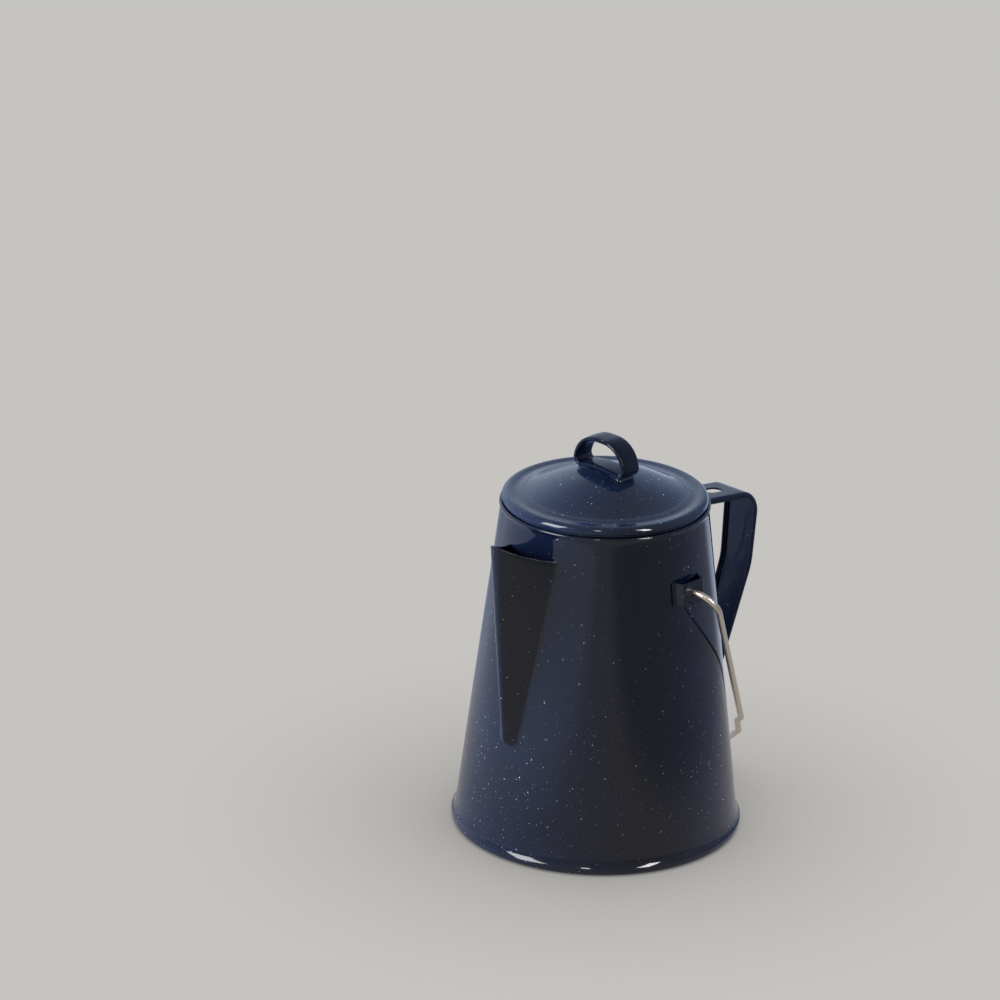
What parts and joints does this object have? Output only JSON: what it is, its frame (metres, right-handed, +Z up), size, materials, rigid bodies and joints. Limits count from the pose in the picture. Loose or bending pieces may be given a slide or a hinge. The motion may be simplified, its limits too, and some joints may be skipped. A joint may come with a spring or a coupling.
{
  "type": "coffee pot",
  "caption": "Tapered enamelled steel camp coffee pot with trough spout, strap handle, swinging wire bail and loose lid with loop.",
  "frame": {"origin": "middle of the flat underside of the base, which stands on the table", "axes": "+Z up along the pot's axis, +X towards the handle and -X towards the spout, the two bail ears stand at +Y and -Y"},
  "size_m": [0.1902, 0.1526, 0.2144],
  "materials": {
    "body_enamel": "glossy dark blue vitreous enamel with fine white speckles",
    "lid_enamel": "glossy blue vitreous enamel with fine white speckles",
    "handle_enamel": "glossy dark blue vitreous enamel",
    "bail_wire": "bright nickel-plated steel wire"
  },
  "bodies": {
    "pot": {"body_shell": "body_enamel", "base_pan": "body_enamel", "spout": "body_enamel", "handle": "handle_enamel", "bail_ear_left": "body_enamel", "bail_ear_right": "body_enamel"},
    "lid": {"lid_shell": "lid_enamel", "lid_collar": "lid_enamel", "lid_knob": "handle_enamel"},
    "bail": {"bail": "bail_wire"}
  },
  "joints": [
    {"name": "lid_lift", "type": "slide", "parent": "pot", "child": "lid", "axis": [0, 0, 1], "range_m": [0, 0.06]},
    {"name": "bail_swing", "type": "hinge", "parent": "pot", "child": "bail", "pos_m": [0.002, 0, 0.146], "axis": [0, -1, 0], "range_deg": [0, 283]}
  ]
}
